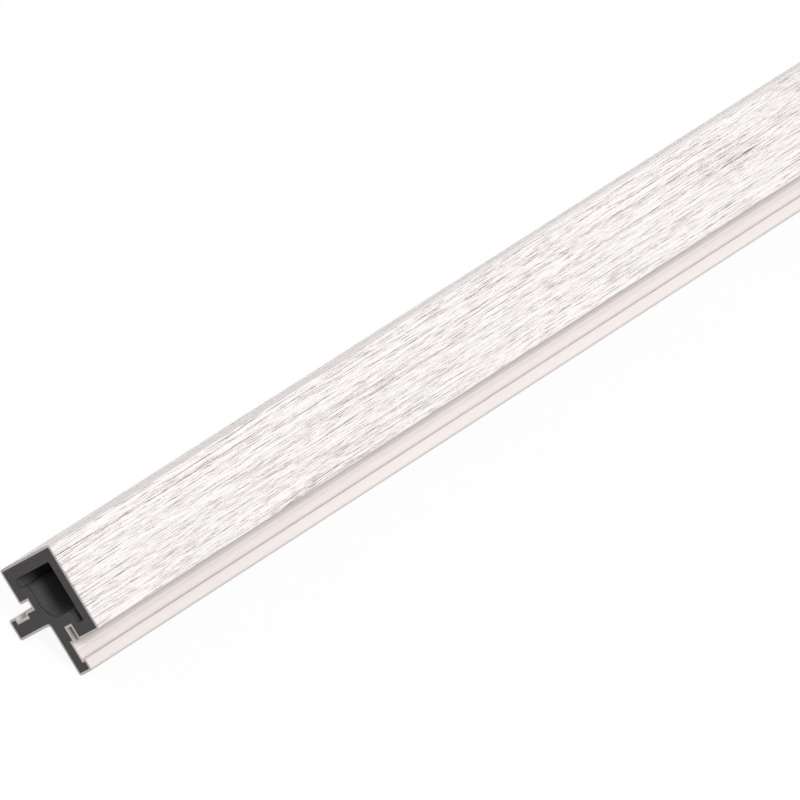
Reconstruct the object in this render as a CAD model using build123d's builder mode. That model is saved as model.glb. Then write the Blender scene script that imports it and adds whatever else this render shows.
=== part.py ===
"""Outside corner trim for composite cladding: a capped, hollow, extruded profile.

Millimetres. X runs along the stock, Z is up and the floor is at Z = 0. The trim lies
on the tips of its two flanges with its ridge on top, so its section is drawn on a
plane turned by 45 degrees: U runs down one grained face from the ridge, and V runs
down the other one. The section is the same on both sides of its diagonal.
"""

from build123d import *
from math import sqrt
import os

length = 2438.0             # eight foot stock

# Each flange, and how far the box stands past the backs of both
board_depth = 22.7          # grained face down to the flange's front: the boards' thickness
flange_thickness = 11.0
box_cover = 12.1
recess_width = 8.9          # relief in the flange's front, beside the box
recess_depth = 2.4
tip_width = 6.3             # raised strip at the flange's tip, beyond the recess
guide_width = 0.6           # scribed line down the middle of the recess, for the screws
guide_depth = 0.3

# The slots between the box and the flanges
slot_width = 4.0
slot_depth = 7.3

# Walls, with the cap counted in
cap_thickness = 1.2         # pale layer all round the outside
face_wall = 7.1             # behind the grained faces and the sides of the box
web = 6.5                   # beside the slots and at the corner between the flanges

# Rounded edges
outer_round = 1.6           # ridge, box corners, slot mouths and flange tips
inner_round = 1.5           # hollow corner between the backs of the flanges
step_round = 0.6            # both edges of the recess
chamber_round = 10.0        # chamber corner facing the flanges
neck_round = 3.0            # where the chamber's side pockets open into it
pocket_round = 0.9          # sharp corners of the chamber

# Places along U or V that follow from the sizes
flange_back = board_depth + flange_thickness
box_width = flange_back + box_cover
recess_floor = board_depth + recess_depth
recess_end = box_width + recess_width
leg_reach = recess_end + tip_width
guide_line = box_width + recess_width / 2
slot_wall = board_depth - slot_width
slot_end = box_width - slot_depth
pocket_end = box_width - face_wall
pocket_side = slot_wall - web
chamber_side = slot_end - web

# The tips touch the floor with their rounds, straight below the ridge by this much
ridge_height = (leg_reach + flange_back - 2 * outer_round) / sqrt(2) + outer_round

section = Plane(origin=(-length / 2, 0, ridge_height), x_dir=(0, -1, -1), z_dir=(1, 0, 0))
diagonal = Plane(origin=(0, 0, 0), x_dir=(1, 1, 0), z_dir=(1, -1, 0))


def corners(sketch, places):
    """The sketch's vertices at the given places, and at the same places across the diagonal."""
    wanted = [Vector(*place) for place in places]
    wanted += [Vector(v, u) for u, v in places]
    return [
        vertex for vertex in sketch.vertices()
        if any((Vector(vertex) - place).length < 0.01 for place in wanted)
    ]


# Outside of the cap: half of it, from the ridge round to the corner between the flanges
ridge = (0, 0)
box_corner = (box_width, 0)
slot_lip = (box_width, slot_wall)
slot_corners = [(slot_end, slot_wall), (slot_end, board_depth)]
land_end = (box_width, board_depth)
recess_start = (box_width, recess_floor)
recess_stop = (recess_end, recess_floor)
recess_step = (recess_end, board_depth)
tip_front = (leg_reach, board_depth)
tip_back = (leg_reach, flange_back)
inner_corner = (flange_back, flange_back)

with BuildSketch(section) as skin:
    with BuildLine():
        Polyline(
            ridge, box_corner, slot_lip, *slot_corners, land_end, recess_start,
            recess_stop, recess_step, tip_front, tip_back, inner_corner,
        )
        mirror(about=diagonal)
    make_face()
    fillet(corners(skin, [ridge, box_corner, slot_lip, tip_front, tip_back]), outer_round)
    fillet(corners(skin, [inner_corner]), inner_round)
    fillet(corners(skin, [land_end, recess_step]), step_round)

# Outside of the core: the same outline, one cap thickness further in
with BuildSketch(section) as core_outline:
    add(skin.sketch_local)
    offset(amount=-cap_thickness, kind=Kind.INTERSECTION)

# Scribed lines in the cap, one in each recess
with BuildSketch(section) as guides:
    with BuildLine():
        Polyline(
            (guide_line - guide_width / 2, recess_floor),
            (guide_line, recess_floor + guide_depth),
            (guide_line + guide_width / 2, recess_floor),
            close=True,
        )
    make_face()
    mirror(about=diagonal)

# Chamber: a main space with a pocket beside each slot
pocket_corners = [(pocket_end, face_wall), (pocket_end, pocket_side)]
neck = (chamber_side, pocket_side)
chamber_corner = (chamber_side, chamber_side)

with BuildSketch(section) as chamber:
    with BuildLine():
        Polyline((face_wall, face_wall), *pocket_corners, neck, chamber_corner)
        mirror(about=diagonal)
    make_face()
    fillet(corners(chamber, [chamber_corner]), chamber_round)
    fillet(corners(chamber, [neck]), neck_round)
    fillet(corners(chamber, [(face_wall, face_wall), *pocket_corners]), pocket_round)

with BuildPart() as core:
    extrude(core_outline.sketch, amount=length)
    extrude(chamber.sketch, amount=length, mode=Mode.SUBTRACT)
core.part.label = "core"

with BuildPart() as cap:
    extrude(skin.sketch, amount=length)
    extrude(core_outline.sketch, amount=length, mode=Mode.SUBTRACT)
    extrude(guides.sketch, amount=length, mode=Mode.SUBTRACT)
cap.part.label = "cap"

os.makedirs("parts", exist_ok=True)
for piece in (core, cap):
    export_step(piece.part, f"parts/{piece.part.label}.step")
    print(piece.part.label, len(piece.solids()), "solid", round(piece.part.volume), "mm3")
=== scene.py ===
import bmesh
import bpy
import math
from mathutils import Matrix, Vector


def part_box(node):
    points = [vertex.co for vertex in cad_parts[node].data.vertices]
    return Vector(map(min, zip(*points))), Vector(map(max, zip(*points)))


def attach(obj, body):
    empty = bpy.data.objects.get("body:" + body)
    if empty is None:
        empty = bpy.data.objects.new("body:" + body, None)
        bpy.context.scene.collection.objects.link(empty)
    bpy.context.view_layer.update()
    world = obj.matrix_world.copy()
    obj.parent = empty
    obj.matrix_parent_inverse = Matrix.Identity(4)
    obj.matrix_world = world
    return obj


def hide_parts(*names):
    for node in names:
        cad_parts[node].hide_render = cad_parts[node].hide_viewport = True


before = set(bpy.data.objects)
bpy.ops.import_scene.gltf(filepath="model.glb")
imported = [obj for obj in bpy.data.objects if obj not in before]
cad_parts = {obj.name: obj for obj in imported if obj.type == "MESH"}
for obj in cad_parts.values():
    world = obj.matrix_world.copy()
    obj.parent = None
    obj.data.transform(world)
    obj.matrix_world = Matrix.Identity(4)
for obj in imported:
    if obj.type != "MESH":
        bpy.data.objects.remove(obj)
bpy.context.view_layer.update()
capLow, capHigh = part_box("cap")
stockLength = capHigh.x - capLow.x
print("frame loaded, stock length", round(stockLength, 4))

mm = 0.001
closeBy = 0.01 * mm               # places nearer to each other than this count as one
margin = 0.1 * mm                 # keeps a test clear of the outline's next corner
flatAngle = math.radians(0.5)     # faces that meet flatter than this are joined
smoothAngle = math.radians(24)    # and those that meet flatter than this are shaded as one

# The trim's section, in the sizes of its solids but for the scribed line's depth. It is
# drawn on the bench: X runs down the front grained face from the ridge, Y down the rear
# one, and Z along the stock.
section = {
    "boardDepth": 22.7 * mm,       # grained face down to the front of the flange
    "flangeThickness": 11.0 * mm,
    "boxCover": 12.1 * mm,         # box past the backs of the flanges
    "recessWidth": 8.9 * mm,
    "recessDepth": 2.4 * mm,
    "tipWidth": 6.3 * mm,
    "guideWidth": 0.6 * mm,        # scribed line for the screws
    "guideDepth": 0.13 * mm,       # the solid's 0.3 mm would render as a broken line
    "slotWidth": 4.0 * mm,
    "slotDepth": 7.3 * mm,
    "capThickness": 1.2 * mm,
    "faceWall": 7.1 * mm,
    "web": 6.5 * mm,
    "rounds": {                        # radius, and how many steps it is drawn with
        "outer": (1.6 * mm, 7),        # ridge, box corners, slot mouths and flange tips
        "inner": (1.5 * mm, 6),        # between the backs of the flanges
        "step": (0.6 * mm, 4),         # both edges of the recess
        "chamber": (10.0 * mm, 20),    # chamber corner that faces the flanges
        "neck": (3.0 * mm, 8),         # where the side pockets open into the chamber
        "pocket": (0.9 * mm, 5),       # sharp corners of the chamber
    },
}
boardDepth = section["boardDepth"]
flangeBack = boardDepth + section["flangeThickness"]
boxWidth = flangeBack + section["boxCover"]
recessFloor = boardDepth + section["recessDepth"]
recessEnd = boxWidth + section["recessWidth"]
legReach = recessEnd + section["tipWidth"]
guideLine = boxWidth + section["recessWidth"] / 2
slotWall = boardDepth - section["slotWidth"]
slotEnd = boxWidth - section["slotDepth"]
pocketEnd = boxWidth - section["faceWall"]
pocketSide = slotWall - section["web"]
chamberSide = slotEnd - section["web"]
outerRound = section["rounds"]["outer"][0]
ridgeHeight = (legReach + flangeBack - 2 * outerRound) / math.sqrt(2) + outerRound


def same(a, b):
    return abs(a - b) < closeBy


def deselectAll():
    if bpy.context.mode != "OBJECT":
        bpy.ops.object.mode_set(mode="OBJECT")
    bpy.ops.object.select_all(action="DESELECT")


def workOn(piece):
    # leaves only this piece selected and active, in object mode
    deselectAll()
    piece.select_set(True)
    bpy.context.view_layer.objects.active = piece


def openMesh(piece):
    workOn(piece)
    bpy.ops.object.mode_set(mode="EDIT")


def pick(piece, kind, test):
    # in edit mode, selects the vertices, edges or faces whose corners all pass the test
    bpy.ops.mesh.select_mode(type=kind)
    bpy.ops.mesh.select_all(action="DESELECT")
    mesh = bmesh.from_edit_mesh(piece.data)
    for item in {"VERT": mesh.verts, "EDGE": mesh.edges, "FACE": mesh.faces}[kind]:
        corners = [item] if kind == "VERT" else item.verts
        if all(test(corner.co) for corner in corners):
            item.select_set(True)
    mesh.select_flush_mode()
    bmesh.update_edit_mesh(piece.data)


def dropEdges(piece, test):
    # in edit mode, takes the edges that pass the test out of the selection
    mesh = bmesh.from_edit_mesh(piece.data)
    for edge in mesh.edges:
        if edge.select and test(edge):
            edge.select_set(False)
    bmesh.update_edit_mesh(piece.data)


def pullEdges(piece, test, move):
    pick(piece, "EDGE", test)
    bpy.ops.mesh.extrude_region_move(TRANSFORM_OT_translate={"value": move})


def cutAcross(place, normal, clearInner=False):
    bpy.ops.mesh.select_all(action="SELECT")
    bpy.ops.mesh.bisect(plane_co=place, plane_no=normal, clear_inner=clearInner)


def mergeFlat():
    # joins the faces that lie in one plane, and drops the corners left on straight edges
    bpy.ops.mesh.select_all(action="SELECT")
    bpy.ops.mesh.dissolve_limited(angle_limit=flatAngle)


def turnOutwards():
    bpy.ops.mesh.select_all(action="SELECT")
    bpy.ops.mesh.normals_make_consistent(inside=False)


def halfSheet(name, side):
    # a square sheet with the ridge at the origin, cut along the diagonal to its front half
    deselectAll()
    bpy.ops.mesh.primitive_plane_add(size=side, location=(side / 2, side / 2, 0))
    sheet = bpy.context.object
    sheet.name = name
    bpy.ops.object.transform_apply(location=True)
    openMesh(sheet)
    cutAcross((0, 0, 0), (1, -1, 0), clearInner=True)
    return sheet


def completeSheet(sheet):
    # the other half by a mirror on the diagonal, then one face with only its real corners
    mergeFlat()
    deselectAll()
    bpy.ops.object.empty_add(rotation=(0, 0, math.radians(-45)))
    diagonal = bpy.context.object
    mirror = sheet.modifiers.new("otherHalf", "MIRROR")
    mirror.mirror_object = diagonal
    mirror.merge_threshold = closeBy
    workOn(sheet)
    bpy.ops.object.modifier_apply(modifier=mirror.name)
    bpy.data.objects.remove(diagonal)
    openMesh(sheet)
    turnOutwards()
    mergeFlat()


def roundCorners(sheet, places, kind):
    # both mirror images of each place
    def wanted(co):
        return any(
            (same(co.x, a) and same(co.y, b)) or (same(co.x, b) and same(co.y, a))
            for a, b in places
        )

    radius, steps = section["rounds"][kind]
    pick(sheet, "VERT", wanted)
    bpy.ops.mesh.bevel(
        offset=radius, offset_type="OFFSET", segments=steps, profile=0.5, affect="VERTICES",
    )


def copySheet(sheet, name):
    workOn(sheet)
    bpy.ops.object.duplicate()
    twin = bpy.context.object
    twin.name = name
    return twin


def drawSkin():
    skin = halfSheet("skinSheet", flangeBack)
    for cut in (slotWall, boardDepth, recessFloor):
        cutAcross((0, cut, 0), (0, 1, 0))
    # the side is pulled out strip by strip: to the slot's bottom, the box's side, the
    # recess's end and the tip, and the tip's raised strip last
    pullEdges(skin, lambda p: same(p.x, flangeBack), (slotEnd - flangeBack, 0, 0))
    toBox = (boxWidth - slotEnd, 0, 0)
    pullEdges(skin, lambda p: same(p.x, slotEnd) and p.y < slotWall + margin, toBox)
    pullEdges(skin, lambda p: same(p.x, slotEnd) and p.y > boardDepth - margin, toBox)
    for start, end in ((boxWidth, recessEnd), (recessEnd, legReach)):
        pullEdges(
            skin, lambda p: same(p.x, start) and p.y > recessFloor - margin,
            (end - start, 0, 0),
        )
    pullEdges(
        skin, lambda p: same(p.y, recessFloor) and p.x > recessEnd - margin,
        (0, boardDepth - recessFloor, 0),
    )
    completeSheet(skin)
    ridge, boxCorner, slotLip = (0, 0), (boxWidth, 0), (boxWidth, slotWall)
    tips = [(legReach, boardDepth), (legReach, flangeBack)]
    roundCorners(skin, [ridge, boxCorner, slotLip, *tips], "outer")
    roundCorners(skin, [(flangeBack, flangeBack)], "inner")
    return skin


def drawCoreOutline(skin):
    # the skin's outline one cap thickness further in
    outline = copySheet(skin, "coreSheet")
    openMesh(outline)
    bpy.ops.mesh.select_all(action="SELECT")
    bpy.ops.mesh.inset(thickness=section["capThickness"], depth=0, use_even_offset=True)
    bpy.ops.mesh.select_mode(type="FACE")
    bpy.ops.mesh.select_all(action="INVERT")
    bpy.ops.mesh.delete(type="FACE")
    return outline


def finishSkin(skin):
    # the small rounds beside the recesses, and the scribed lines in their floors
    openMesh(skin)
    roundCorners(skin, [(boxWidth, boardDepth), (recessEnd, boardDepth)], "step")
    half = section["guideWidth"] / 2
    for along, across in ((0, 1), (1, 0)):
        for offset in (-half, 0, half):
            place, normal = [0, 0, 0], [0, 0, 0]
            place[along] = guideLine + offset
            normal[along] = 1
            cutAcross(place, normal)
        pick(
            skin, "VERT",
            lambda p: same(p[along], guideLine) and same(p[across], recessFloor),
        )
        deeper = [0, 0, 0]
        deeper[across] = section["guideDepth"]
        bpy.ops.transform.translate(value=deeper)
    mergeFlat()


def drawChamber():
    chamber = halfSheet("chamberSheet", chamberSide)
    wall = section["faceWall"]
    cutAcross((wall, 0, 0), (1, 0, 0), clearInner=True)
    cutAcross((0, wall, 0), (0, 1, 0), clearInner=True)
    cutAcross((0, pocketSide, 0), (0, 1, 0))
    pullEdges(
        chamber, lambda p: same(p.x, chamberSide) and p.y < pocketSide + margin,
        (pocketEnd - chamberSide, 0, 0),
    )
    completeSheet(chamber)
    roundCorners(chamber, [(chamberSide, chamberSide)], "chamber")
    roundCorners(chamber, [(chamberSide, pocketSide)], "neck")
    roundCorners(chamber, [(wall, wall), (pocketEnd, wall), (pocketEnd, pocketSide)], "pocket")
    return chamber


def keepEdges(sheet):
    openMesh(sheet)
    bpy.ops.mesh.select_all(action="SELECT")
    bpy.ops.mesh.delete(type="ONLY_FACE")


def pullWalls(outer, inner, name):
    # both outlines pulled along the stock into one mesh of open walls
    keepEdges(inner)
    keepEdges(outer)
    deselectAll()
    inner.select_set(True)
    outer.select_set(True)
    bpy.context.view_layer.objects.active = outer
    bpy.ops.object.join()
    outer.name = outer.data.name = name
    openMesh(outer)
    bpy.ops.mesh.select_mode(type="EDGE")
    bpy.ops.mesh.select_all(action="SELECT")
    bpy.ops.mesh.extrude_region_move(TRANSFORM_OT_translate={"value": (0, 0, stockLength)})
    return outer


def closeEnds(piece):
    openMesh(piece)
    for end in (0, stockLength):
        pick(piece, "EDGE", lambda p: same(p.z, end))
        bpy.ops.mesh.fill(use_beauty=True)
    turnOutwards()


def standUp(piece):
    # from the bench to the floor: ridge on top, stock along X
    workOn(piece)
    piece.rotation_euler = [math.radians(angle) for angle in (-90, 45, -90)]
    piece.location = (capLow.x, 0, ridgeHeight)
    bpy.ops.object.transform_apply(location=True, rotation=True, scale=True)


def shade(piece):
    workOn(piece)
    bpy.ops.object.shade_smooth_by_angle(angle=smoothAngle)
    even = piece.modifiers.new("evenShading", "WEIGHTED_NORMAL")
    even.keep_sharp = True
    bpy.ops.object.modifier_apply(modifier=even.name)


# Embossed wood grain: shallow grooves pressed into the two grained faces
grain = {
    "cutsAlong": (20, 20),      # first into 21 lengths, then each into 21 again
    "cutsAcross": 89,
    "outside": 0.3 * mm,        # a corner less deep than this is on the cap's outside
    "leastWeight": 0.01,        # weaker than this, nothing is pressed
    "start": 0.3,               # where the noise starts along the stock, in metres
    "octaves": 2,
    "broad": {"depth": 0.05 * mm, "width": 2.4 * mm, "stretch": 34, "spread": (0.28, 0.52)},
    "fine": {"depth": 0.05 * mm, "width": 1.1 * mm, "stretch": 40, "spread": (0.34, 0.50)},
}


def outsideDepth(across, down):
    # how far a point lies below the cap's outside: the face, the ridge or the box's corner
    middle = min(max(across, outerRound), boxWidth - outerRound)
    if same(middle, across):
        return down
    return outerRound - math.hypot(across - middle, down - outerRound)


def onGrainedFace(p):
    # on the cap's outside, on a grained face or in a round beside one
    front = p.y < outerRound + closeBy
    rear = p.x < outerRound + closeBy
    return (front and outsideDepth(p.x, p.y) < grain["outside"]) or (
        rear and outsideDepth(p.y, p.x) < grain["outside"]
    )


def cutGrainedFaces(cap):
    openMesh(cap)
    for cuts in grain["cutsAlong"]:
        pick(cap, "EDGE", onGrainedFace)
        dropEdges(cap, lambda edge: same(edge.verts[0].co.z, edge.verts[1].co.z))
        bpy.ops.mesh.subdivide(number_cuts=cuts)
    # the two flat faces are also cut across, between their rounds
    flatWidth = boxWidth - 2 * outerRound
    pick(cap, "EDGE", onGrainedFace)
    dropEdges(cap, lambda edge: not same(edge.calc_length(), flatWidth))
    bpy.ops.mesh.subdivide(number_cuts=grain["cutsAcross"])


def pressGrain(cap):
    # one group for each face, fading out round its rounded edges
    workOn(cap)
    groups = {axis: cap.vertex_groups.new(name="grain" + axis) for axis in "YX"}
    for vertex in cap.data.vertices:
        if not onGrainedFace(vertex.co):
            continue
        for axis, down in (("Y", vertex.co.y), ("X", vertex.co.x)):
            weight = 1 - down / outerRound
            if weight > grain["leastWeight"]:
                groups[axis].add([vertex.index], weight, "REPLACE")
    deselectAll()
    for name in ("broad", "fine"):
        look = grain[name]
        bpy.ops.object.empty_add(location=(0, 0, grain["start"]))
        stretcher = bpy.context.object
        stretcher.scale = (look["width"], look["width"], look["width"] * look["stretch"])
        grooves = bpy.data.textures.new(name + "Grooves", "CLOUDS")
        grooves.noise_scale = 1
        grooves.noise_depth = grain["octaves"]
        grooves.use_color_ramp = True
        ramp = grooves.color_ramp
        for stop, at, level in zip(ramp.elements, look["spread"], (0, 1)):
            stop.position = at
            stop.color = (level, level, level, 1)
        for axis in "YX":
            press = cap.modifiers.new(name + axis, "DISPLACE")
            press.texture = grooves
            press.texture_coords = "OBJECT"
            press.texture_coords_object = stretcher
            press.direction = axis
            press.vertex_group = "grain" + axis
            press.mid_level = 1
            press.strength = -look["depth"]
        bpy.context.view_layer.update()
        workOn(cap)
        for axis in "YX":
            bpy.ops.object.modifier_apply(modifier=name + axis)
        bpy.data.objects.remove(stretcher)
    cap.vertex_groups.clear()


skin = drawSkin()
coreOutline = drawCoreOutline(skin)
coreEdge = copySheet(coreOutline, "coreEdge")
finishSkin(skin)
chamber = drawChamber()
print("section drawn")

trimCap = pullWalls(skin, coreEdge, "trimCap")
cutGrainedFaces(trimCap)
pressGrain(trimCap)
closeEnds(trimCap)
trimCore = pullWalls(coreOutline, chamber, "trimCore")
closeEnds(trimCore)
for piece, node, slot in ((trimCap, "cap", "pale_cap"), (trimCore, "core", "composite_core")):
    standUp(piece)
    shade(piece)
    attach(piece, "root")
    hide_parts(node)
    print(piece.name, len(piece.data.polygons), "faces")


def addNode(tree, kind, settings=None, values=None):
    # a node, its settings, and the plain values or links of its inputs
    node = tree.nodes.new("ShaderNode" + kind)
    for name, setting in (settings or {}).items():
        setattr(node, name, setting)
    for name, value in (values or {}).items():
        if isinstance(value, bpy.types.NodeSocket):
            tree.links.new(value, node.inputs[name])
        else:
            node.inputs[name].default_value = value
    return node


def calc(tree, operation, a, b=0.0):
    return addNode(tree, "Math", {"operation": operation}, {0: a, 1: b}).outputs["Value"]


def addUp(tree, values):
    total = values[0]
    for value in values[1:]:
        total = calc(tree, "ADD", total, value)
    return total


def calcVector(tree, operation, a, b):
    return addNode(tree, "VectorMath", {"operation": operation}, {0: a, 1: b}).outputs["Vector"]


def ease(tree, value, start, end, low=0.0, high=1.0):
    # goes smoothly from low to high as the value goes from start to end
    node = addNode(tree, "MapRange", {"interpolation_type": "SMOOTHSTEP"}, {
        "Value": value, "From Min": start, "From Max": end, "To Min": low, "To Max": high,
    })
    return node.outputs["Result"]


def vary(tree, noise, low, high):
    # goes from low to high with a noise, which stays mostly between 0.3 and 0.7
    return ease(tree, noise, 0.3, 0.7, low, high)


def makeNoise(tree, place, scale=1.0, detail=2.0, roughness=0.5):
    return addNode(tree, "TexNoise", {"noise_dimensions": "3D"}, {
        "Vector": place, "Scale": scale, "Detail": detail, "Roughness": roughness,
    }).outputs


def stretchedNoise(tree, place, size, shift, detail=2.0, roughness=0.5):
    # cloudy noise whose patches are this long along the stock and this wide across it,
    # and the shift picks another piece of it
    length, width = size
    scaled = addNode(tree, "Mapping", {"vector_type": "POINT"}, {
        "Vector": place,
        "Location": (shift, shift * 0.37, shift * 0.61),
        "Scale": (1 / length, 1 / width, 1 / width),
    }).outputs["Vector"]
    return makeNoise(tree, scaled, detail=detail, roughness=roughness)["Fac"]


def asColour(tint):
    # a plain tint gets its alpha, and a link stays as it is
    return tint if isinstance(tint, bpy.types.NodeSocket) else (*tint, 1)


def toned(tree, tone, tint):
    # the tint, lighter where the tone is over 1 and darker where it is under
    return addNode(tree, "HueSaturation", values={
        "Value": tone, "Color": asColour(tint),
    }).outputs["Color"]


def mixColours(tree, share, first, second):
    return addNode(tree, "Mix", {"data_type": "RGBA"}, {
        0: share, 6: asColour(first), 7: asColour(second),
    }).outputs[2]


def mixValues(tree, share, first, second):
    return addNode(tree, "Mix", {"data_type": "FLOAT"}, {
        0: share, 2: first, 3: second,
    }).outputs[0]


def newFinish(name):
    material = bpy.data.materials.new(name)
    material.use_nodes = True
    return material, material.node_tree, material.node_tree.nodes["Principled BSDF"]


def finishShader(tree, shader, colour, rough, height, strength):
    # the height is in metres
    bump = addNode(tree, "Bump", values={
        "Distance": 1.0, "Strength": strength, "Height": height,
    })
    tree.links.new(colour, shader.inputs["Base Color"])
    tree.links.new(rough, shader.inputs["Roughness"])
    tree.links.new(bump.outputs["Normal"], shader.inputs["Normal"])


def sectionPlace(tree):
    # X along the stock, Y and Z down the two grained faces from the ridge, in metres
    middle = ridgeHeight / math.sqrt(2)
    return addNode(tree, "Mapping", {"vector_type": "POINT"}, {
        "Vector": addNode(tree, "TexCoord").outputs["Object"],
        "Location": (0, middle, middle),
        "Rotation": (math.radians(135), 0, 0),
    }).outputs["Vector"]


def splitPlace(tree, place):
    # distance from the nearer end, and below the rear and the front grained face
    parts = addNode(tree, "SeparateXYZ", values={"Vector": place}).outputs
    fromMiddle = calc(tree, "ABSOLUTE", parts["X"])
    return calc(tree, "SUBTRACT", stockLength / 2, fromMiddle), parts["Y"], parts["Z"]


saw = {
    "skin": 0.02 * mm,                 # the cut ends' own finish goes this far in
    "scratch": (0.35 * mm, 9 * mm),    # width and length of the saw's scratches
    "pattern": -32,                    # degrees, picks another piece of their noise
}


def sawScratches(tree, place):
    # fine scratches over the cut ends, all one way, along the rear grained face
    width, length = saw["scratch"]
    scaled = addNode(tree, "Mapping", {"vector_type": "POINT"}, {
        "Vector": place,
        "Rotation": (math.radians(saw["pattern"]), 0, 0),
        "Scale": (1, 1 / width, 1 / length),
    }).outputs["Vector"]
    return makeNoise(tree, scaled, detail=3.0)["Fac"]


# Places across are measured from the ridge, down a grained face and out along the flange.
# Four numbers in brackets are where a change starts and ends, and its values there. Tones
# and roughness with two numbers lie between them.
capLook = {
    "smooth": (0.922, 0.857, 0.836),      # flanges, slots and box sides
    "smoothChange": 0.012,                # change of tone by each of the next two
    "drawnSize": (600 * mm, 0.8 * mm),    # length and width of the faint drawn lines
    "toneSize": (90 * mm, 12 * mm),       # and of the slow changes of tone
    "lines": (                            # place across, reach and change of tone: painted shade and highlights
        (45.5 * mm, 0.7 * mm, -0.2),
        (49.3 * mm, 1.0 * mm, 0.1),
        (50.2 * mm, 0.6 * mm, -0.05),
        (54.6 * mm, 1.0 * mm, -0.24),
        (58.0 * mm, 4.0 * mm, 0.02),
        (61.0 * mm, 1.3 * mm, -0.15),
    ),
    "endShade": (                          # reach and change of tone towards the ends, as painted shade
        (250 * mm, -0.035),
        (25 * mm, -0.05),
    ),
    "slotMouth": (45.6 * mm, 44.4 * mm),  # where the slots' painted shade starts and is full
    "slotLevel": (29.7 * mm, 27.7 * mm),  # below the faces, keeps it off the flanges' backs
    "slotShade": 0.28,                     # how much darker the slots are, as painted shade
    "besideBox": (49 * mm, 46.5 * mm),    # strip of the flange beside the box, and inwards
    "mouthReach": 5 * mm,                 # from the cut end
    "mouthShade": 0.15,                    # how much darker it gets there, as a painted shadow of the box
    "grain": (                            # from the bottoms of the grain to its tops: the grain's own colour, with a painted highlight of the relief as the whitest top
        (0.402, (0.15, 0.125, 0.117)),
        (0.449, (0.705, 0.631, 0.609)),
        (0.471, (0.955, 0.878, 0.86)),
        (0.494, (0.99, 0.929, 0.913)),
        (0.522, (1.0, 0.982, 0.976)),
    ),
    "streaks": (                          # length, width and share in the grain
        (1.3 * mm, 0.28 * mm, 0.11),
        (9 * mm, 0.2 * mm, 0.33),
        (36 * mm, 0.2 * mm, 0.27),
        (220 * mm, 0.23 * mm, 0.29),
    ),
    "waveSize": (130 * mm, 13 * mm),      # length and width of the streaks' waves
    "wave": 1.4 * mm,                     # how far the streaks wander
    "patchSize": (60 * mm, 6 * mm),       # where the streaks are stronger or weaker
    "patchChange": 0.005,
    "grainEdge": (0.5 * mm, 1.3 * mm),    # depth at which the grain's finish stops
    "ridge": (0.80, 0.755, 0.735),        # ridge, past the pressed grain, greyer as painted shade on its round
    "ridgeEdge": (1.6 * mm, 1.3 * mm),    # where its colour starts and is full
    # painted shade over the ridge's round, darker towards the faces
    "ridgeRoundShade": (1.5 * mm, 0.4 * mm, 0.86, 1.03),
    # painted shade: the ridge greyer towards the ends
    "ridgeEndShade": (150 * mm, 300 * mm, 0.9, 1.05),
    "corner": (0.68, 0.63, 0.61),         # box's lower edge, painted shade on its round
    "cornerEdge": (44.8 * mm, 45.35 * mm),
    "cut": (0.715, 0.649, 0.635),         # saw cut
    "cutTones": (0.93, 1.05),             # by its scratches
    "cutEdge": 0.35 * mm,                 # the cut is whole from this far below the face
    "edgeLine": (0.55 * mm, 0.2 * mm),    # dark line along the cut's outer edge
    "edgeSize": (3 * mm, 0.7 * mm),       # length and width of its breaks
    "edgeDarkening": (0.35, 0.6, 0.1, 0.42),
    "roughSmooth": (0.42, 0.5),
    "roughGrain": (0.3, 0.6, 0.62, 0.46),
    "roughCut": 0.75,
    "reliefSpread": (0.36, 0.58),         # bottoms and tops of the grain's fine relief
    "grainDepth": 0.06 * mm,
    "drawnDepth": 0.003 * mm,
    "scratchDepth": 0.03 * mm,
    "bump": 1.0,
}


def wavyPlace(tree, place):
    # the place moved a little across, so that the streaks wander
    length, width = capLook["waveSize"]
    scaled = addNode(tree, "Mapping", {"vector_type": "POINT"}, {
        "Vector": place, "Scale": (1 / length, 1 / width, 1 / width),
    }).outputs["Vector"]
    noise = makeNoise(tree, scaled, detail=0.5)["Color"]
    centred = calcVector(tree, "SUBTRACT", noise, (0.5, 0.5, 0.5))
    sideways = calcVector(tree, "MULTIPLY", centred, (0, capLook["wave"], capLook["wave"]))
    return calcVector(tree, "ADD", place, sideways)


def grainLevels(tree, place):
    # short, middling and long streaks, all thin, and the same a little stronger in patches
    wavy = wavyPlace(tree, place)
    layers = []
    for number, (length, width, share) in enumerate(capLook["streaks"]):
        shift = 3.1 + 4.7 * number
        layer = stretchedNoise(tree, wavy, (length, width), shift, detail=1.0)
        layers.append(calc(tree, "MULTIPLY", layer, share))
    streaks = addUp(tree, layers)
    patches = stretchedNoise(tree, wavy, capLook["patchSize"], shift=21.3, roughness=0.6)
    change = capLook["patchChange"]
    return streaks, calc(tree, "ADD", streaks, vary(tree, patches, -change, change))


def grainColour(tree, level):
    ramp = addNode(tree, "ValToRGB", values={"Fac": level})
    stops = ramp.color_ramp.elements
    for number, (at, tint) in enumerate(capLook["grain"]):
        stop = stops[number] if number < 2 else stops.new(at)
        stop.position = at
        stop.color = asColour(tint)
    return ramp.outputs["Color"]


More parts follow.
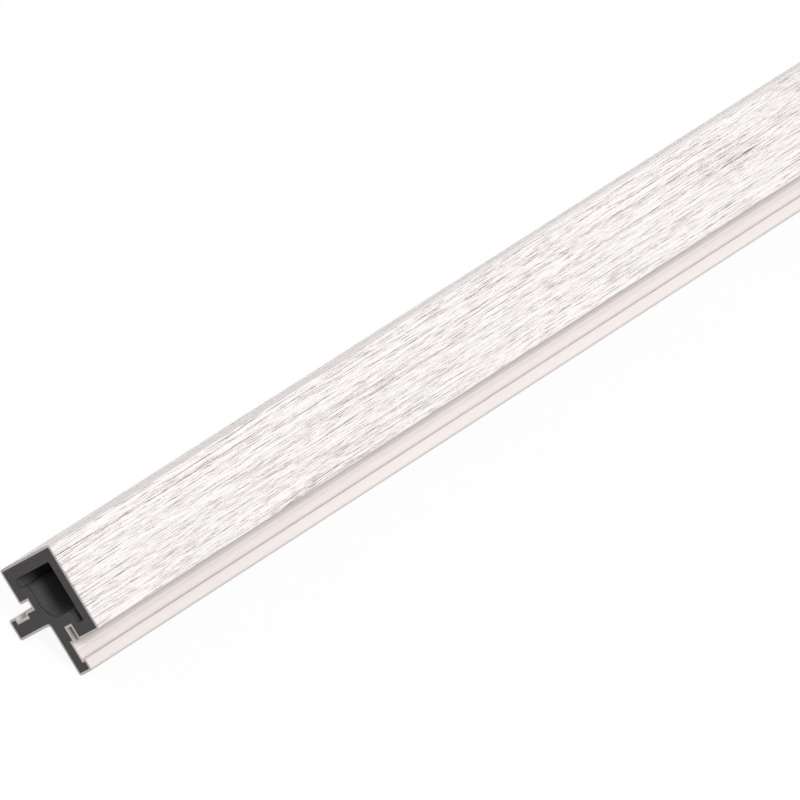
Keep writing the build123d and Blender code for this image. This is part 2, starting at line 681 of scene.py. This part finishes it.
def smoothTone(tree, drawn, slow, across, nearFace, fromEnd):
    # smooth places: faint drawn lines and a slow change of tone along the stock
    change = capLook["smoothChange"]
    shades = [vary(tree, drawn, -change, change), vary(tree, slow, -change, change)]
    # painted shade along the box's edge, in the scribed line, at the recess's step and on the
    # tip's outer round, and painted highlights on the tip and the upper lip of the scribed line
    for middle, reach, depth in capLook["lines"]:
        away = calc(tree, "ABSOLUTE", calc(tree, "SUBTRACT", across, middle))
        shades.append(ease(tree, away, reach, 0, 0, depth))
    # painted shade towards the ends
    for reach, depth in capLook["endShade"]:
        shades.append(ease(tree, fromEnd, 0, reach, depth, 0))
    # painted shade in the slots all along, and a painted shadow of the box beside it at the
    # very end
    inSlot = calc(tree, "MULTIPLY", ease(tree, across, *capLook["slotMouth"]),
                  ease(tree, nearFace, *capLook["slotLevel"]))
    shades.append(calc(tree, "MULTIPLY", inSlot, -capLook["slotShade"]))
    shades.append(calc(
        tree, "MULTIPLY", ease(tree, across, *capLook["besideBox"]),
        ease(tree, fromEnd, capLook["mouthReach"], 0, 0, -capLook["mouthShade"])))
    return addUp(tree, [*shades, 1.0])


def makeCapFinish():
    material, tree, shader = newFinish("paleCap")
    place = sectionPlace(tree)
    fromEnd, belowRear, belowFront = splitPlace(tree, place)
    nearFace = calc(tree, "MINIMUM", belowRear, belowFront)
    across = calc(tree, "MAXIMUM", belowRear, belowFront)

    # where the grain was pressed, and where the saw went through
    grained = ease(tree, nearFace, *capLook["grainEdge"], 1, 0)
    sawn = calc(tree, "LESS_THAN", fromEnd, saw["skin"])

    streaks, level = grainLevels(tree, place)
    drawn = stretchedNoise(tree, place, capLook["drawnSize"], shift=31.7, roughness=0.6)
    slow = stretchedNoise(
        tree, place, capLook["toneSize"], shift=43.1, detail=3.0, roughness=0.55)
    scratches = sawScratches(tree, place)

    # the ridge and the box's corner are left plain, and greyer by painted shade on their
    # rounds; the ridge's painted shade also grows towards the ends
    ridgeShadeTone = calc(tree, "MULTIPLY", ease(tree, across, *capLook["ridgeRoundShade"]),
                     ease(tree, fromEnd, *capLook["ridgeEndShade"]))
    faceColour = mixColours(
        tree, ease(tree, across, *capLook["ridgeEdge"]), grainColour(tree, level),
        toned(tree, ridgeShadeTone, capLook["ridge"]))
    faceColour = mixColours(
        tree, ease(tree, across, *capLook["cornerEdge"]), faceColour, capLook["corner"])
    smoothShade = smoothTone(tree, drawn, slow, across, nearFace, fromEnd)
    colour = mixColours(tree, grained, toned(tree, smoothShade, capLook["smooth"]), faceColour)

    # the saw cut is whole below the grain, and broken up by it at the very edge
    wholeCut = calc(tree, "MULTIPLY", sawn, ease(tree, nearFace, 0, capLook["cutEdge"]))
    cutTone = vary(tree, scratches, *capLook["cutTones"])
    colour = mixColours(tree, wholeCut, colour, toned(tree, cutTone, capLook["cut"]))

    # a broken dark line is painted along that edge
    fromEdge = calc(tree, "MAXIMUM", fromEnd, nearFace)
    torn = stretchedNoise(tree, place, capLook["edgeSize"], shift=57.3)
    edgeDarkening = calc(tree, "MULTIPLY", ease(tree, fromEdge, *capLook["edgeLine"]),
                    ease(tree, torn, *capLook["edgeDarkening"]))
    colour = toned(tree, calc(tree, "SUBTRACT", 1.0, edgeDarkening), colour)

    rough = mixValues(tree, grained, vary(tree, slow, *capLook["roughSmooth"]),
                      ease(tree, streaks, *capLook["roughGrain"]))
    rough = mixValues(tree, sawn, rough, capLook["roughCut"])

    # relief: streaks are pressed in, drawn lines barely show, the cut is rough
    grainHeight = calc(tree, "MULTIPLY", ease(tree, level, *capLook["reliefSpread"]),
                       calc(tree, "MULTIPLY", grained, capLook["grainDepth"]))
    drawnHeight = calc(tree, "MULTIPLY", drawn, capLook["drawnDepth"])
    cutHeight = calc(tree, "MULTIPLY", scratches,
                     calc(tree, "MULTIPLY", sawn, capLook["scratchDepth"]))
    height = addUp(tree, [grainHeight, drawnHeight, cutHeight])
    finishShader(tree, shader, colour, rough, height, capLook["bump"])
    return material


coreLook = {
    "cut": (0.0608, 0.0563, 0.06),
    "cutTones": (0.96, 1.04),             # by the saw's scratches
    "wall": (0.076, 0.0725, 0.075),       # drawn skin of the chamber
    "wallTones": (0.92, 1.08),            # by its drawn lines
    "drawnSize": (500 * mm, 0.9 * mm),    # their length and width
    "rim": 1.1 * mm,                      # reach of the dark band painted on the chamber's wall at its rim
    "rimTone": 0.45,
    "fleck": 0.8 * mm,                    # size of the wood flour's specks
    "fleckTones": (0.8, 1.2),
    "cloud": 6 * mm,                      # and of the cloudy patches
    "cloudChange": 0.04,
    "roughWall": (0.5, 0.62),
    "roughCut": (0.72, 0.85),
    "wallDepth": 0.04 * mm,
    "cutDepth": 0.02 * mm,
    "bump": 0.6,
}


def makeCoreFinish():
    material, tree, shader = newFinish("darkComposite")
    place = sectionPlace(tree)
    fromEnd = splitPlace(tree, place)[0]
    sawn = calc(tree, "LESS_THAN", fromEnd, saw["skin"])

    # wood flour in the plastic: pale and dark specks, and larger cloudy patches
    flour = makeNoise(tree, place, 1 / coreLook["fleck"], detail=3.0, roughness=0.6)["Fac"]
    cloud = makeNoise(tree, place, 1 / coreLook["cloud"])["Fac"]
    change = coreLook["cloudChange"]
    flecks = calc(tree, "ADD", vary(tree, flour, *coreLook["fleckTones"]),
                  vary(tree, cloud, -change, change))
    scratches = sawScratches(tree, place)
    drawn = stretchedNoise(tree, place, coreLook["drawnSize"], shift=5.3, roughness=0.6)

    # a thin dark band is painted on the wall along the chamber's rim
    rim = coreLook["rim"]
    rimDarkening = ease(tree, fromEnd, rim, rim / 3, 1, coreLook["rimTone"])
    cutTone = calc(tree, "MULTIPLY", flecks, vary(tree, scratches, *coreLook["cutTones"]))
    wallTone = calc(tree, "MULTIPLY", flecks, vary(tree, drawn, *coreLook["wallTones"]))
    colour = mixColours(
        tree, sawn, toned(tree, calc(tree, "MULTIPLY", wallTone, rimDarkening), coreLook["wall"]),
        toned(tree, cutTone, coreLook["cut"]))

    rough = mixValues(tree, sawn, vary(tree, drawn, *coreLook["roughWall"]),
                      vary(tree, flour, *coreLook["roughCut"]))
    height = mixValues(
        tree, sawn, calc(tree, "MULTIPLY", drawn, coreLook["wallDepth"]),
        calc(tree, "MULTIPLY", calc(tree, "ADD", flour, scratches), coreLook["cutDepth"]))
    finishShader(tree, shader, colour, rough, height, coreLook["bump"])
    return material


for piece, finish in ((trimCap, makeCapFinish()), (trimCore, makeCoreFinish())):
    piece.data.materials.clear()
    piece.data.materials.append(finish)
print("materials on")

# Plain floor and soft studio light
studio = {
    "floorSide": 30,
    "floorColour": 0.38,        # what the floor throws back on the trim
    "floorLook": 1.0,           # how it looks from the camera, where its shadow falls
    "floorWhite": 0.93,         # share of plain white in that look
    "roomLight": 0.43,
    "lampHeight": 3,
    "lamps": {                  # direction towards the lamp, strength, and angle in degrees
        "key": ((-0.26, -0.63, 0.745), 1.86, 16),
        "back": ((0, 0.8, 0.6), 0.68, 30),
        "end": ((-0.75, 0.1, 0.65), 0.14, 75),
    },
}

deselectAll()
bpy.ops.mesh.primitive_plane_add(size=studio["floorSide"], location=(0, 0, 0))
floor = bpy.context.object
floor.name = "floor"


def seenDirectly(tree):
    # 1 for a ray straight from the camera, a mirror or glass, and 0 for the light itself
    rays = addNode(tree, "LightPath").outputs
    seen = rays["Is Camera Ray"]
    for name in ("Is Glossy Ray", "Is Transmission Ray"):
        seen = calc(tree, "MAXIMUM", seen, rays[name])
    return seen


def betweenLooks(tree, low, high):
    # low for the light itself, high for what is seen directly
    return addNode(tree, "MapRange", values={
        "Value": seenDirectly(tree), "To Min": low, "To Max": high,
    }).outputs["Result"]


def paleFloor():
    material = bpy.data.materials.new("paleFloor")
    material.use_nodes = True
    tree = material.node_tree
    tree.nodes.clear()
    tone = betweenLooks(tree, studio["floorColour"], studio["floorLook"])
    paper = addNode(tree, "BsdfDiffuse", values={"Color": tone})
    white = addNode(tree, "Emission")
    mixed = addNode(tree, "MixShader", values={
        0: calc(tree, "MULTIPLY", seenDirectly(tree), studio["floorWhite"]),
        1: paper.outputs["BSDF"], 2: white.outputs["Emission"],
    })
    addNode(tree, "OutputMaterial", values={"Surface": mixed.outputs["Shader"]})
    return material


floor.data.materials.append(paleFloor())

world = bpy.data.worlds.new("studioRoom")
bpy.context.scene.world = world
world.use_nodes = True
background = world.node_tree.nodes["Background"]
background.inputs["Color"].default_value = (1, 1, 1, 1)
roomStrength = betweenLooks(world.node_tree, studio["roomLight"], 1)
world.node_tree.links.new(roomStrength, background.inputs["Strength"])

for name, (towards, strength, angle) in studio["lamps"].items():
    bpy.ops.object.light_add(type="SUN", location=(0, 0, studio["lampHeight"]))
    lamp = bpy.context.object
    lamp.name = name + "Lamp"
    lamp.data.energy = strength
    lamp.data.angle = math.radians(angle)
    lamp.rotation_euler = Vector(towards).to_track_quat("Z", "Y").to_euler()

# The camera, by a fit to the photograph's edges
view = {
    "place": (-4.098764, -2.909472, 3.214069),
    "azimuth": -46.98,
    "elevation": 36.84,
    "lens": 503.5,
    "sensor": 36,
    "farthest": 100,
}
bpy.ops.object.camera_add(location=view["place"])
camera = bpy.context.object
camera.name = "photoCamera"
camera.rotation_euler = (
    math.radians(90 - view["elevation"]), 0, math.radians(view["azimuth"]),
)
camera.data.lens = view["lens"]
camera.data.sensor_width = view["sensor"]
camera.data.clip_end = view["farthest"]
bpy.context.scene.camera = camera
bpy.context.scene.view_settings.view_transform = "Standard"
bpy.context.scene.cycles.denoising_prefilter = "NONE"     # keeps the fine grain crisp
print("studio set up")
